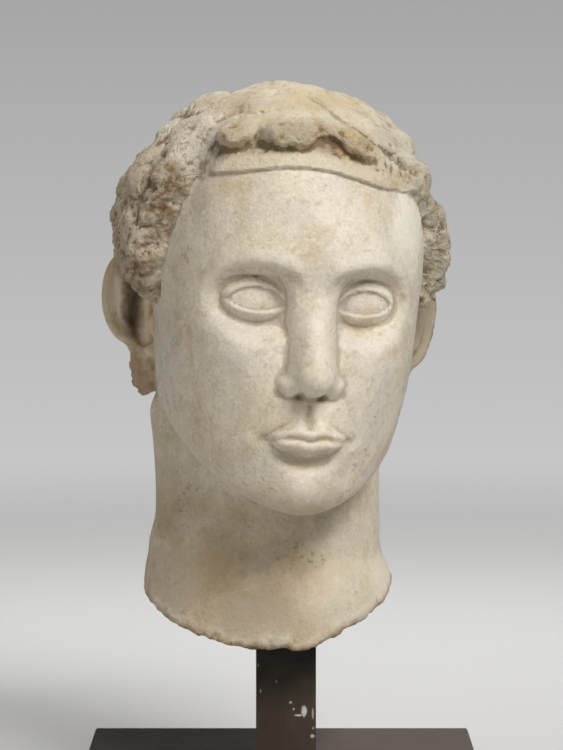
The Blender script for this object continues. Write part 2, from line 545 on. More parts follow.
def surface_nets(v, th, zz, rr, ax=0.0, ay=0.0):
    """Quads of the zero surface on a cylindrical grid that closes in angle. v has shape (angles, heights, radii)."""
    nt, nz, nr = v.shape
    vw = np.concatenate([v, v[:1]], 0)
    thw = np.concatenate([th, [th[0] + 2 * np.pi]])
    s = vw < 0
    c = np.zeros((nt, nz - 1, nr - 1), np.int8)
    for i in (0, 1):
        for j in (0, 1):
            for k in (0, 1):
                c += s[i:nt + i, j:nz - 1 + j, k:nr - 1 + k]
    cells = np.nonzero((c > 0) & (c < 8))
    n = len(cells[0])
    index = -np.ones((nt, nz - 1, nr - 1), np.int64)
    index[cells] = np.arange(n)
    ci, cj, ck = cells
    corner = {}
    for i in (0, 1):
        for j in (0, 1):
            for k in (0, 1):
                corner[(i, j, k)] = vw[ci + i, cj + j, ck + k].astype(float)
    acc = np.zeros((n, 3))
    cnt = np.zeros(n)
    ks = list(corner)
    for a in ks:
        for b in ks:
            if sum(b) - sum(a) == 1 and all(q >= p for p, q in zip(a, b)):
                fa, fb = corner[a], corner[b]
                m = (fa < 0) != (fb < 0)
                t = np.where(m, fa / np.where(m, fa - fb, 1), 0)
                p = np.array(a, float)[None] + t[:, None] * (np.array(b, float) - np.array(a, float))[None]
                acc += p * m[:, None]
                cnt += m
    p = acc / np.maximum(cnt, 1)[:, None]
    TH = thw[ci] * (1 - p[:, 0]) + thw[ci + 1] * p[:, 0]
    ZZ = zz[cj] * (1 - p[:, 1]) + zz[cj + 1] * p[:, 1]
    RR = rr[ck] * (1 - p[:, 2]) + rr[ck + 1] * p[:, 2]
    verts = np.stack([ax + RR * np.sin(TH), ay - RR * np.cos(TH), ZZ], 1)
    quads = []
    # edges along angle: between (i,j,k) and (i+1,j,k): cells around in z,r
    a, b = vw[:-1], vw[1:]
    m = (a < 0) != (b < 0)
    m[:, 0, :] = m[:, -1, :] = False
    m[:, :, 0] = m[:, :, -1] = False
    i, j, k = np.nonzero(m)
    q = np.stack([index[i, j - 1, k - 1], index[i, j, k - 1], index[i, j, k], index[i, j - 1, k]], 1)
    flip = a[i, j, k] < 0
    quads.append(np.where(flip[:, None], q, q[:, ::-1]))
    # edges along z
    a, b = v[:, :-1], v[:, 1:]
    m = (a < 0) != (b < 0)
    m[:, :, 0] = m[:, :, -1] = False
    i, j, k = np.nonzero(m)
    im = (i - 1) % nt
    q = np.stack([index[im, j, k - 1], index[im, j, k], index[i, j, k], index[i, j, k - 1]], 1)
    flip = a[i, j, k] < 0
    quads.append(np.where(flip[:, None], q, q[:, ::-1]))
    # edges along r
    a, b = v[:, :, :-1], v[:, :, 1:]
    m = (a < 0) != (b < 0)
    m[:, 0, :] = m[:, -1, :] = False
    i, j, k = np.nonzero(m)
    im = (i - 1) % nt
    q = np.stack([index[im, j - 1, k], index[i, j - 1, k], index[i, j, k], index[im, j, k]], 1)
    flip = a[i, j, k] < 0
    quads.append(np.where(flip[:, None], q, q[:, ::-1]))
    quads = np.concatenate(quads)
    return verts, quads

def project(f, v, steps=2, h=0.25, most=1.2, block=200000):
    """Moves points onto the zero surface along the field's own slope."""
    for _ in range(steps):
        x, y, z = v[:, 0], v[:, 1], v[:, 2]
        f0 = eval_blocks(f, x, y, z, block)
        gx = (eval_blocks(f, x + h, y, z, block) - eval_blocks(f, x - h, y, z, block)) / (2 * h)
        gy = (eval_blocks(f, x, y + h, z, block) - eval_blocks(f, x, y - h, z, block)) / (2 * h)
        gz = (eval_blocks(f, x, y, z + h, block) - eval_blocks(f, x, y, z - h, block)) / (2 * h)
        g = np.stack([gx, gy, gz], 1)
        gg = np.maximum((g * g).sum(1), 0.05)
        step = -(f0 / gg)[:, None] * g
        ln = np.linalg.norm(step, axis=1)
        step *= np.minimum(1, most / np.maximum(ln, 1e-9))[:, None]
        v = v + step
    return v

# ------------------------------------------------------------------ the marble's mesh
POST_X, POST_Y, POST_HALF, POST_TOP = 3.0, 2.0, 20.3, 166.3
AXIS_X, AXIS_Y = -6.0, 8.0
FINE = 1.77


def f_marble(x, y, z):
    f = f_all(x, y, z)
    recess = np.maximum(np.maximum(np.abs(x - POST_X) - POST_HALF, np.abs(y - POST_Y) - POST_HALF), z - POST_TOP)
    return np.maximum(f, -recess)


def spaced(marks):
    pts = [marks[0]]
    for end, step in marks[1:]:
        n = max(1, int(round((end - pts[-1]) / step)))
        pts += list(np.linspace(pts[-1], end, n + 1)[1:])
    return np.array(pts)


def marble_mesh():
    half = spaced([0.0, (math.radians(70), FINE / 105), (math.radians(104), 1.5 * FINE / 105), (math.pi, 3.0 * FINE / 115)])
    th = np.concatenate([-half[::-1][:-1], half])[:-1] + YAW
    zz = spaced([92.0, (184, 1.9 * FINE), (442, FINE), (492, 1.8 * FINE)])
    rr = spaced([0.4, (80, 1.6 * FINE), (116, 1.05 * FINE), (150, 1.6 * FINE)])   # closer where the ears' thin walls are
    v, _ = field_grid(f_marble, th, zz, rr, AXIS_X, AXIS_Y)
    verts, quads = surface_nets(v, th, zz, rr, AXIS_X, AXIS_Y)
    verts = project(f_marble, verts, 2)
    # weld the tiny rings round the axis into one point each
    r = np.hypot(verts[:, 0] - AXIS_X, verts[:, 1] - AXIS_Y)
    near = r < 2.2
    remap = np.arange(len(verts))
    for low, high in ((0, 250), (250, 600)):
        m = near & (verts[:, 2] > low) & (verts[:, 2] <= high)
        if m.any():
            first = np.nonzero(m)[0][0]
            verts[first] = verts[m].mean(0)
            remap[m] = first
    quads = remap[quads]
    faces = []
    for q in quads.tolist():
        f = []
        for i in q:
            if i not in f:
                f.append(i)
        if len(f) > 2:
            faces.append(f)
    used = np.unique(np.concatenate([np.array(f) for f in faces]))
    back = -np.ones(len(verts), np.int64)
    back[used] = np.arange(len(used))
    return verts[used], [[int(back[i]) for i in f] for f in faces]


def edges_of(faces, n):
    a, b = [], []
    for f in faces:
        for i in range(len(f)):
            a.append(f[i]); b.append(f[(i + 1) % len(f)])
    a, b = np.array(a), np.array(b)
    return np.concatenate([a, b]), np.concatenate([b, a])


def averaged(value, ea, eb, n):
    count = np.maximum(np.bincount(ea, minlength=n), 1)
    if value.ndim == 1:
        return np.bincount(ea, weights=value[eb], minlength=n) / count
    return np.stack([np.bincount(ea, weights=value[eb, k], minlength=n) / count for k in range(3)], 1)


verts, faces = marble_mesh()
n = len(verts)
ea, eb = edges_of(faces, n)

mesh = bpy.data.meshes.new("marble")
mesh.from_pydata(verts.tolist(), [], faces)
mesh.update()
normals = np.empty(n * 3)
mesh.vertices.foreach_get("normal", normals)
normals = normals.reshape(-1, 3)

# where the hair, the break and the ears are
hx, hd, hz = to_head(verts[:, 0], verts[:, 1], verts[:, 2])
turn = np.degrees(np.arctan2(hx, hd))
above = hz - hairline(turn)
ear_m = np.maximum(sstep(3.0, 0.0, f_ear(hx, hd, hz)), sstep(5.0, 2.5, np.abs(f_concha(hx, hd, hz)))) * sstep(48, 60, np.abs(hx))
side_m = sstep(40, 54, np.abs(turn))      # beside and behind the face the hair's edge is worn and uneven
steep = (hairline(turn + 0.5) - hairline(turn - 0.5)) / 1.7          # how steeply the edge runs
inward = above / np.sqrt(1 + (steep * side_m) ** 2)                   # distance from the edge, into the hair
fray = (3.2 * noise3(verts[:, 0] / 7, verts[:, 1] / 7, verts[:, 2] / 7, 51) + 1.6 * noise3(verts[:, 0] / 3, verts[:, 1] / 3, verts[:, 2] / 3, 52)) * side_m
hair_m = sstep(-0.5 - 2.0 * side_m, 1.5 + 2.0 * side_m, inward + fray) * (1 - ear_m)
break_m = sstep(3.0, 0.8, np.abs(f_break(verts[:, 0], verts[:, 1], verts[:, 2])))
ridge = (turn - 23.5) - (244.7 - hz) * (27.6 / 20.2) * np.where(hz < 244.7, 1.0, 0.6)
pitted_m = hair_m * np.clip(0.10 + 0.90 * sstep(-50, -70, hx) * sstep(120, 150, hz) * (1 - 0.6 * sstep(205, 235, hz)) + 0.55 * sstep(60, 80, hx) * sstep(120, 150, hz), 0, 1)
line_m = G(ridge - 1.2, 0, 0.8) * sstep(216, 224, hz) * sstep(276, 266, hz) * (hx > 0)
zb_gap = -f_break(verts[:, 0], verts[:, 1], verts[:, 2])   # height above the break
rim_m = sstep(7.0, 1.0, zb_gap)

ear_u, ear_w, _ = ear_local(hx, hd, hz)
lobe_m = ear_m * sstep(-15, -23, ear_w) * (hx < 0)

# weathering in the mesh itself
P = verts
soft = noise3(P[:, 0] / 9, P[:, 1] / 9, P[:, 2] / 9, 31)
mid = noise3(P[:, 0] / 4.2, P[:, 1] / 4.2, P[:, 2] / 4.2, 32)
fine = noise3(P[:, 0] / 2.1, P[:, 1] / 2.1, P[:, 2] / 2.1, 33)
patch = noise3(P[:, 0] / 30, P[:, 1] / 30, P[:, 2] / 30, 34)
pit = noise3(P[:, 0] / 3.0 + 9, P[:, 1] / 3.0, P[:, 2] / 3.0, 35)
front_band = sstep(16, 8, above) * sstep(56, 40, np.abs(turn)) * hair_m   # the smooth band over the forehead
rough = hair_m * (1 - 0.75 * front_band)
calm = np.maximum(sstep(36, 48, above) * sstep(62, 46, np.abs(turn)), sstep(0.60, 0.85, normals[:, 2]) * (above > 30)) * hair_m   # the worn plane over the front locks
rough_low, rough = rough, rough * (1 - 0.65 * calm)
move = 0.75 * (rough_low - rough) * soft + rough * (0.75 * soft + 0.62 * mid - 0.55 * np.abs(noise3(P[:, 0] / 6.5 + 5, P[:, 1] / 6.5, P[:, 2] / 6.5, 37)) + 0.25 * fine)
move += rough * pitted_m * (0.35 * mid + 0.62 * fine)
move -= rough * 0.9 * sstep(0.45, 0.8, pit) * np.maximum(0.15 * (1 - calm), sstep(-0.1, 0.6, patch) * np.clip(1.6 * pitted_m - 0.3, 0, 1))
move += lobe_m * (0.9 * mid + 1.1 * fine)
# long shallow creases between the locks
bend = noise3(P[:, 0] / 17 + 2, P[:, 1] / 17, P[:, 2] / 17, 38) + 0.25 * noise3(P[:, 0] / 6, P[:, 1] / 6, P[:, 2] / 6, 39)
fringe = sstep(12, 18, above) * sstep(44, 38, above) * sstep(40, 30, np.abs(turn + 8))
move -= rough_low * 1.0 * sstep(0.20, 0.0, np.abs(bend)) * (1 - 0.8 * fringe) * (1 - 0.8 * calm)
move += (1 - hair_m) * (0.16 * soft + 0.05 * mid)
move += rim_m * (0.8 * mid + 0.5 * fine)
deep = sstep(0.45, 0.8, noise3(P[:, 0] / 7 + 3, P[:, 1] / 7, P[:, 2] / 5, 36))
move -= rim_m * 2.4 * deep
in_recess = (np.maximum(np.abs(P[:, 0] - POST_X), np.abs(P[:, 1] - POST_Y)) < POST_HALF + 1.2) & (P[:, 2] < POST_TOP + 1.2)
move[in_recess] = 0.0
verts = verts + normals * move[:, None]

# how far each point lies below its surroundings, close by and wider
near_mean = averaged(verts, ea, eb, n)
hollow1 = ((near_mean - verts) * normals).sum(1)
wide = verts.copy()
for _ in range(7):
    wide = averaged(wide, ea, eb, n)
hollow2 = ((wide - verts) * normals).sum(1)
for _ in range(1):
    hollow1 = 0.5 * hollow1 + 0.5 * averaged(hollow1, ea, eb, n)
ledge = np.exp(-(above / 5.5) ** 2)
cavity = np.clip(0.5 + (1.3 * hollow1 + 0.32 * hollow2) * (1 - 0.72 * ledge), 0, 1)

mesh.vertices.foreach_set("co", (verts / 1000.0).ravel())
mesh.polygons.foreach_set("use_smooth", [True] * len(mesh.polygons))
for name, value in (("hair", hair_m), ("cavity", cavity), ("rim", rim_m), ("band", front_band), ("ear", ear_m), ("line", line_m), ("pitted", pitted_m), ("calm", calm)):
    a = mesh.attributes.new(name, "FLOAT", "POINT")
    a.data.foreach_set("value", value.astype(np.float32))
mesh.update()
head = bpy.data.objects.new("marble_head_carved", mesh)
bpy.context.scene.collection.objects.link(head)
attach(head, "root")
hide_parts("marble_head")


# ------------------------------------------------------------------ materials
class Nodes:
    """Short names for building a material's nodes."""

    def __init__(self, name):
        self.mat = bpy.data.materials.new(name)
        self.mat.use_nodes = True
        self.tree = self.mat.node_tree
        self.bsdf = self.tree.nodes["Principled BSDF"]
        self.coord = self.tree.nodes.new("ShaderNodeTexCoord").outputs["Object"]

    def new(self, kind, **values):
        node = self.tree.nodes.new(kind)
        for k, v in values.items():
            setattr(node, k, v)
        return node

    def link(self, a, b):
        self.tree.links.new(a, b)

    def set(self, socket, v):
        if hasattr(v, "is_output"):
            self.link(v, socket)
        else:
            socket.default_value = v

    def noise(self, scale, detail=3.0, rough=0.55, distort=0.0, vector=None):
        node = self.new("ShaderNodeTexNoise")
        node.inputs["Scale"].default_value = scale
        node.inputs["Detail"].default_value = detail
        node.inputs["Roughness"].default_value = rough
        node.inputs["Distortion"].default_value = distort
        self.link(vector or self.coord, node.inputs["Vector"])
        return node.outputs["Fac"]

    def cells(self, scale, vector=None, feature="F1"):
        node = self.new("ShaderNodeTexVoronoi", feature=feature)
        node.inputs["Scale"].default_value = scale
        self.link(vector or self.coord, node.inputs["Vector"])
        return node.outputs["Distance"]

    def warped(self, amount, scale):
        """The object's coordinates, pushed about by noise, for uneven lines."""
        noise = self.new("ShaderNodeTexNoise")
        noise.inputs["Scale"].default_value = scale
        self.link(self.coord, noise.inputs["Vector"])
        shift = self.new("ShaderNodeVectorMath", operation="SCALE")
        self.link(noise.outputs["Color"], shift.inputs[0])
        shift.inputs["Scale"].default_value = amount
        add = self.new("ShaderNodeVectorMath", operation="ADD")
        self.link(self.coord, add.inputs[0])
        self.link(shift.outputs[0], add.inputs[1])
        return add.outputs[0]

    def attribute(self, name):
        return self.new("ShaderNodeAttribute", attribute_name=name).outputs["Fac"]

    def ramp(self, value, low, high, a=0.0, b=1.0):
        node = self.new("ShaderNodeMapRange", interpolation_type="SMOOTHSTEP", clamp=True)
        self.link(value, node.inputs["Value"])
        for k, v in (("From Min", low), ("From Max", high), ("To Min", a), ("To Max", b)):
            node.inputs[k].default_value = v
        return node.outputs["Result"]

    def math(self, op, a, b=0.0):
        node = self.new("ShaderNodeMath", operation=op)
        self.set(node.inputs[0], a)
        self.set(node.inputs[1], b)
        return node.outputs[0]

    def mix(self, factor, a, b, blend="MIX"):
        node = self.new("ShaderNodeMix", data_type="RGBA", blend_type=blend)
        self.set(node.inputs[0], factor)
        for socket, v in ((node.inputs[6], a), (node.inputs[7], b)):
            if hasattr(v, "is_output"):
                self.link(v, socket)
            else:
                socket.default_value = (*v, 1.0)
        return node.outputs[2]

    def bump(self, height, strength, distance, normal=None):
        node = self.new("ShaderNodeBump")
        node.inputs["Strength"].default_value = strength
        node.inputs["Distance"].default_value = distance
        self.link(height, node.inputs["Height"])
        if normal is not None:
            self.link(normal, node.inputs["Normal"])
        return node.outputs["Normal"]

    def spot(self, centre, size, edge=0.35, wobble=None):
        """1 within an ellipsoid of the given half-sizes, 0 outside it, with an uneven edge."""
        sub = self.new("ShaderNodeVectorMath", operation="SUBTRACT")
        self.link(self.coord, sub.inputs[0])
        sub.inputs[1].default_value = centre
        div = self.new("ShaderNodeVectorMath", operation="DIVIDE")
        self.link(sub.outputs[0], div.inputs[0])
        div.inputs[1].default_value = size
        ln = self.new("ShaderNodeVectorMath", operation="LENGTH")
        self.link(div.outputs[0], ln.inputs[0])
        d = ln.outputs["Value"]
        if wobble is not None:
            d = self.math("ADD", d, wobble)
        return self.ramp(d, 1.0 + edge, 1.0 - edge)


def marble_material():
    m = Nodes("weathered_marble")
    hair, cavity, rim, band, ear, line = (m.attribute(k) for k in ("hair", "cavity", "rim", "band", "ear", "line"))
    pitted, calm_at = m.attribute("pitted"), m.attribute("calm")
    times, plus = (lambda a, b: m.math("MULTIPLY", a, b)), (lambda a, b: m.math("ADD", a, b))

    # bare marble: warm, with tan clouds, ochre blotches and greyer patches
    color = m.mix(m.ramp(m.noise(11.0, 5.0, 0.6, 0.5), 0.36, 0.64), (0.605, 0.515, 0.375), (0.72, 0.66, 0.55))
    color = m.mix(times(m.ramp(m.noise(27.0, 5.0, 0.62, 0.5), 0.46, 0.68), 0.72), color, (0.52, 0.405, 0.25))
    color = m.mix(times(m.ramp(m.noise(19.0, 4.0, 0.6, 0.2, ), 0.46, 0.62), 0.60), color, (0.585, 0.555, 0.50))
    color = m.mix(times(m.ramp(m.noise(95.0, 5.0, 0.7), 0.50, 0.68), 0.42), color, (0.78, 0.73, 0.63))
    color = m.mix(times(m.ramp(m.noise(150.0, 4.0, 0.7, 0.3), 0.52, 0.68), 0.45), color, (0.42, 0.325, 0.205))
    grain = m.noise(430.0, 4.0, 0.75)
    color = m.mix(times(m.ramp(grain, 0.50, 0.66), 0.28), color, (0.82, 0.775, 0.68))
    color = m.mix(times(m.ramp(grain, 0.50, 0.34), 0.30), color, (0.42, 0.34, 0.235))
    for centre, size, tint, amount in SKIN_MARKS:
        edge = times(m.math("SUBTRACT", m.noise(60.0, 5.0, 0.68), 0.5), 2.0)
        color = m.mix(times(m.spot(centre, size, 0.6, edge), amount), color, tint)
    # the neck is dirtier than the face, most of all low down and on its left
    where = m.new("ShaderNodeSeparateXYZ")
    m.link(m.coord, where.inputs[0])
    uneven = times(m.math("SUBTRACT", m.noise(24.0, 5.0, 0.62), 0.5), 0.07)
    down = m.ramp(plus(where.outputs[2], uneven), 0.225, 0.185)
    leftish = m.ramp(plus(where.outputs[0], uneven), 0.045, 0.005, 0.25, 1.0)
    color = m.mix(times(down, leftish), color, (0.80, 0.735, 0.64), "MULTIPLY")
    # hair: ochre crusts, grey growth and paler worn marble
    tone = m.mix(m.ramp(m.noise(36.0, 6.0, 0.66, 0.7), 0.42, 0.63), (0.80, 0.665, 0.435), (0.56, 0.395, 0.195))
    tone = m.mix(times(m.ramp(m.noise(16.0, 5.0, 0.62, 0.3), 0.52, 0.66), 0.38), tone, (0.54, 0.47, 0.37))
    tone = m.mix(times(m.ramp(m.noise(80.0, 6.0, 0.72, 0.4), 0.52, 0.66), 0.55), tone, (0.84, 0.74, 0.57))
    tone = m.mix(times(m.ramp(m.noise(130.0, 5.0, 0.72), 0.56, 0.68), 0.50), tone, (0.38, 0.26, 0.13))
    # paler, warmer stone over the crown, where the light falls and the crust is thin
    for centre, size, tint, amount in PALE:
        edge = times(m.math("SUBTRACT", m.noise(45.0, 5.0, 0.65), 0.5), 1.5)
        tone = m.mix(times(m.spot(centre, size, 0.5, edge), amount), tone, tint)
    mottle = m.noise(75.0, 5.0, 0.68, 0.4)
    tone = m.mix(times(m.ramp(mottle, 0.50, 0.66), times(calm_at, 0.55)), tone, (0.66, 0.50, 0.30))
    tone = m.mix(times(m.ramp(mottle, 0.50, 0.36), times(calm_at, 0.45)), tone, (0.98, 0.90, 0.76))
    for centre, size, tint, amount in STAINS:
        edge = times(m.math("SUBTRACT", m.noise(70.0, 4.0, 0.65), 0.5), 1.6)
        tone = m.mix(times(m.spot(centre, size, 0.45, edge), amount), tone, tint)
    color = m.mix(m.math("SUBTRACT", hair, times(band, 0.45)), color, tone)
    # creases in the hair: thin dark ones and pale worn ones
    fold = times(m.ramp(m.math("ABSOLUTE", m.math("SUBTRACT", m.noise(30.0, 5.0, 0.6, 0.9), 0.5)), 0.030, 0.0), hair)
    fold = times(fold, m.math("SUBTRACT", 1.0, m.math("MAXIMUM", band, times(calm_at, 0.85))))
    fold = times(fold, m.ramp(m.noise(26.0, 3.0, 0.6), 0.42, 0.56))
    vein = times(m.ramp(m.math("ABSOLUTE", m.math("SUBTRACT", m.noise(44.0, 5.0, 0.62, 1.2), 0.5)), 0.016, 0.0), hair)
    vein = times(vein, m.ramp(m.noise(33.0, 3.0, 0.6), 0.48, 0.62))
    color = m.mix(times(fold, 0.42), color, (0.25, 0.175, 0.10))
    color = m.mix(times(vein, 0.55), color, (0.84, 0.775, 0.65))
    # dirt in hollows, wear on what stands out
    low = m.ramp(cavity, 0.55, 0.90)
    color = m.mix(times(times(low, plus(0.42, times(hair, 0.36))), m.math("SUBTRACT", 1.0, plus(times(calm_at, 0.6), times(pitted, 0.22)))), color, (0.24, 0.155, 0.08))
    color = m.mix(times(m.ramp(cavity, 0.45, 0.20), 0.32), color, (0.80, 0.75, 0.65))
    # dark pits, in drifts: few on the bare skin, many in the hair
    bare_ear = m.math("SUBTRACT", 1.0, ear)
    few = m.math("MAXIMUM", times(times(m.ramp(m.noise(20.0, 4.0, 0.6), 0.55, 0.68), 0.8), m.math("SUBTRACT", 1.0, times(hair, 0.85))), m.math("MULTIPLY", pitted, m.ramp(m.noise(38.0, 4.0, 0.6), 0.30, 0.55)))
    size = m.ramp(m.noise(70.0, 5.0, 0.7), 0.36, 0.70, 0.0, 0.42)
    wavy = m.warped(0.0035, 260.0)
    pits = times(times(m.ramp(m.math("SUBTRACT", size, m.cells(250.0, wavy)), -0.02, 0.12), few), bare_ear)
    small = times(m.ramp(m.noise(620.0, 3.0, 0.7), 0.58, 0.68), pitted)
    # and a closer crop of small ones where the stone is eaten away
    eaten = times(m.ramp(m.noise(75.0, 4.0, 0.65), 0.42, 0.60), m.ramp(pitted, 0.15, 0.85))
    holes = m.math("SUBTRACT", m.ramp(m.noise(170.0, 4.0, 0.7), 0.36, 0.70, 0.06, 0.46), m.cells(430.0, m.warped(0.0018, 500.0)))
    holes = times(m.ramp(holes, -0.03, 0.10), eaten)
    color = m.mix(times(pits, plus(0.25, times(hair, 0.50))), color, (0.17, 0.11, 0.06))
    color = m.mix(times(small, 0.60), color, (0.23, 0.155, 0.08))
    color = m.mix(times(holes, 0.66), color, (0.24, 0.15, 0.07))
    flecks = times(m.ramp(m.noise(480.0, 4.0, 0.72), 0.57, 0.66), plus(0.06, times(hair, 0.40)))
    color = m.mix(flecks, color, (0.80, 0.74, 0.63))
    # brown edge of the break, ochre growth on the ears, dark dirt in their hollows and on the broken lobe
    color = m.mix(times(rim, m.ramp(m.noise(75.0, 4.0, 0.65), 0.36, 0.60, 0.25, 0.95)), color, (0.37, 0.26, 0.135))
    color = m.mix(times(ear, m.ramp(m.noise(48.0, 4.0, 0.65), 0.40, 0.60, 0.25, 0.8)), color, (0.60, 0.44, 0.25))
    for centre, size, tint, amount in EAR_DIRT:
        edge = times(m.math("SUBTRACT", m.noise(90.0, 4.0, 0.65), 0.5), 1.2)
        color = m.mix(times(times(m.spot(centre, size, 0.5, edge), ear), amount), color, tint)
    # pale worn lines: along the parting, and a fine net on the greyer side
    worn = times(line, m.ramp(m.noise(120.0, 4.0, 0.65), 0.40, 0.58))
    net = m.ramp(m.cells(85.0, m.warped(0.012, 60.0), "DISTANCE_TO_EDGE"), 0.055, 0.012)
    net = times(times(net, m.ramp(m.noise(45.0, 3.0, 0.6), 0.48, 0.60)), m.spot(NET_AT, NET_SIZE, 0.4))
    worn = m.math("MAXIMUM", worn, times(net, 0.8))
    # chalky scratches beside the hair's edge
    lines = m.ramp(m.math("ABSOLUTE", m.math("SUBTRACT", m.noise(85.0, 5.0, 0.66, 1.6), 0.5)), 0.040, 0.004)
    lines = m.math("MAXIMUM", lines, m.ramp(m.noise(210.0, 4.0, 0.7), 0.50, 0.60))
    ragged = times(m.math("SUBTRACT", m.noise(50.0, 4.0, 0.66), 0.5), 2.2)
    worn = m.math("MAXIMUM", worn, times(times(lines, m.spot(CHALK_AT, CHALK_SIZE, 0.5, ragged)), 0.85))
    color = m.mix(worn, color, (0.84, 0.79, 0.68))
    m.link(color, m.bsdf.inputs["Base Color"])
    m.link(plus(m.ramp(m.noise(40.0, 3.0, 0.6), 0.3, 0.7, 0.48, 0.62), times(hair, 0.18)), m.bsdf.inputs["Roughness"])
    m.bsdf.inputs["Specular IOR Level"].default_value = 0.35
    # crystals and tool-worn skin, then the coarser weathering of the hair
    normal = m.bump(m.noise(900.0, 4.0, 0.7), 0.35, 0.0006)
    coarse = plus(m.noise(300.0, 6.0, 0.72), times(m.noise(110.0, 6.0, 0.7), 1.3))
    share = plus(0.17, times(hair, 0.83))
    share = m.math("SUBTRACT", share, times(band, 0.45))
    share = times(share, plus(1.0, times(pitted, 0.5)))
    deep = plus(plus(plus(times(pits, -0.40), times(small, -0.22)), times(fold, -0.30)), times(holes, -0.45))
    normal = m.bump(plus(times(coarse, share), deep), 0.85, 0.0052, normal)
    m.link(normal, m.bsdf.inputs["Normal"])
    return m.mat


def painted(name, dark, light, chips, rough_low, rough_high, streak, shade=None, gloss=0.30):
    m = Nodes(name)
    stretch = m.new("ShaderNodeMapping")
    stretch.inputs["Scale"].default_value = streak
    m.link(m.coord, stretch.inputs["Vector"])
    streaks = m.noise(55.0, 5.0, 0.6, vector=stretch.outputs["Vector"])
    cloud = m.noise(14.0, 3.0, 0.5)
    color = m.mix(m.ramp(cloud, 0.35, 0.68), dark, light)
    color = m.mix(m.math("MULTIPLY", m.ramp(streaks, 0.5, 0.75), 0.35), color, tuple(1.35 * c for c in light))
    if shade is not None:
        axis, start, end, tint, amount = shade
        split = m.new("ShaderNodeSeparateXYZ")
        m.link(m.coord, split.inputs[0])
        uneven = m.math("ADD", split.outputs[axis], m.math("MULTIPLY", m.math("SUBTRACT", m.noise(30.0, 4.0, 0.6), 0.5), 0.05))
        color = m.mix(m.math("MULTIPLY", m.ramp(uneven, start, end), amount), color, tint)
    dust = m.ramp(m.noise(900.0, 2.0, 0.7), 0.66, 0.78)
    color = m.mix(m.math("MULTIPLY", dust, 0.16), color, (0.26, 0.24, 0.21))
    wobble = m.math("MULTIPLY", m.math("SUBTRACT", m.noise(900.0, 3.0, 0.7), 0.5), 1.3)
    total = None
    for centre, size, strength in chips:
        s = m.math("MULTIPLY", m.spot(centre, size, 0.30, wobble), strength)
        total = s if total is None else m.math("MAXIMUM", total, s)
    if total is not None:
        color = m.mix(total, color, (0.58, 0.56, 0.50))
    m.link(color, m.bsdf.inputs["Base Color"])
    m.link(m.ramp(m.noise(120.0, 3.0, 0.6), 0.3, 0.7, rough_low, rough_high), m.bsdf.inputs["Roughness"])
    m.bsdf.inputs["Specular IOR Level"].default_value = gloss
    h = m.math("ADD", m.noise(420.0, 3.0, 0.6), m.math("MULTIPLY", streaks, 0.5))
    if total is not None:
        h = m.math("SUBTRACT", h, m.math("MULTIPLY", total, 1.2))
    m.link(m.bump(h, 0.35, 0.0004), m.bsdf.inputs["Normal"])
    return m.mat


def dress(node, material):
    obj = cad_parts[node]
    obj = obj if hasattr(obj, "material_slots") else bpy.data.objects[node]
    for slot in obj.material_slots:
        slot.material = material


SKIN_MARKS = [   # patches of ochre, grey and chalky wear on the bare marble
    ((0.082, -0.045, 0.385), (0.010, 0.060, 0.024), (0.84, 0.81, 0.73), 0.75),
    ((-0.052, -0.060, 0.398), (0.007, 0.040, 0.012), (0.36, 0.31, 0.25), 0.50),
    ((-0.078, -0.020, 0.205), (0.012, 0.060, 0.030), (0.46, 0.36, 0.21), 0.55),
    ((-0.044, -0.040, 0.160), (0.020, 0.060, 0.018), (0.44, 0.345, 0.21), 0.55),
    ((-0.070, -0.030, 0.150), (0.018, 0.060, 0.014), (0.56, 0.52, 0.45), 0.55),
    ((-0.015, -0.050, 0.130), (0.034, 0.060, 0.014), (0.52, 0.475, 0.41), 0.72),
    ((0.030, -0.050, 0.150), (0.016, 0.060, 0.026), (0.70, 0.62, 0.47), 0.50),
    ((0.068, -0.010, 0.152), (0.010, 0.050, 0.014), (0.80, 0.74, 0.62), 0.60),
]
PALE = [
    ((0.000, -0.105, 0.420), (0.070, 0.030, 0.012), (0.88, 0.79, 0.61), 0.60),
    ((0.000, -0.060, 0.470), (0.075, 0.080, 0.022), (1.00, 0.88, 0.64), 0.90),
    ((0.072, -0.050, 0.440), (0.034, 0.060, 0.020), (0.98, 0.88, 0.70), 0.85),
    ((-0.062, -0.060, 0.440), (0.028, 0.060, 0.024), (1.00, 0.90, 0.74), 0.90),
    ((-0.088, -0.030, 0.388), (0.034, 0.080, 0.058), (1.00, 0.83, 0.61), 0.72),
]
# stains: where (m), half sizes, colour, strength
STAINS = [
    ((-0.030, -0.050, 0.463), (0.022, 0.060, 0.008), (0.72, 0.53, 0.36), 0.60),
    ((0.022, -0.050, 0.464), (0.024, 0.060, 0.007), (0.80, 0.62, 0.32), 0.60),
    ((-0.076, -0.060, 0.402), (0.015, 0.040, 0.024), (0.27, 0.165, 0.07), 0.88),
    ((-0.094, -0.040, 0.352), (0.014, 0.040, 0.012), (0.40, 0.26, 0.13), 0.70),
    ((-0.090, -0.030, 0.360), (0.016, 0.030, 0.030), (0.36, 0.26, 0.14), 0.55),
    ((0.050, -0.090, 0.438), (0.018, 0.024, 0.011), (0.68, 0.475, 0.18), 0.85),
    ((-0.030, -0.095, 0.443), (0.014, 0.020, 0.010), (0.66, 0.48, 0.235), 0.70),
    ((0.033, -0.098, 0.437), (0.009, 0.016, 0.006), (0.34, 0.28, 0.235), 0.70),
    ((0.004, -0.105, 0.446), (0.022, 0.020, 0.011), (0.44, 0.345, 0.19), 0.65),
    ((0.098, -0.020, 0.372), (0.022, 0.050, 0.036), (0.46, 0.40, 0.31), 0.60),
    ((0.075, -0.060, 0.442), (0.014, 0.030, 0.012), (0.60, 0.52, 0.41), 0.50),
    ((-0.050, -0.070, 0.432), (0.010, 0.030, 0.020), (0.70, 0.64, 0.54), 0.70),
]
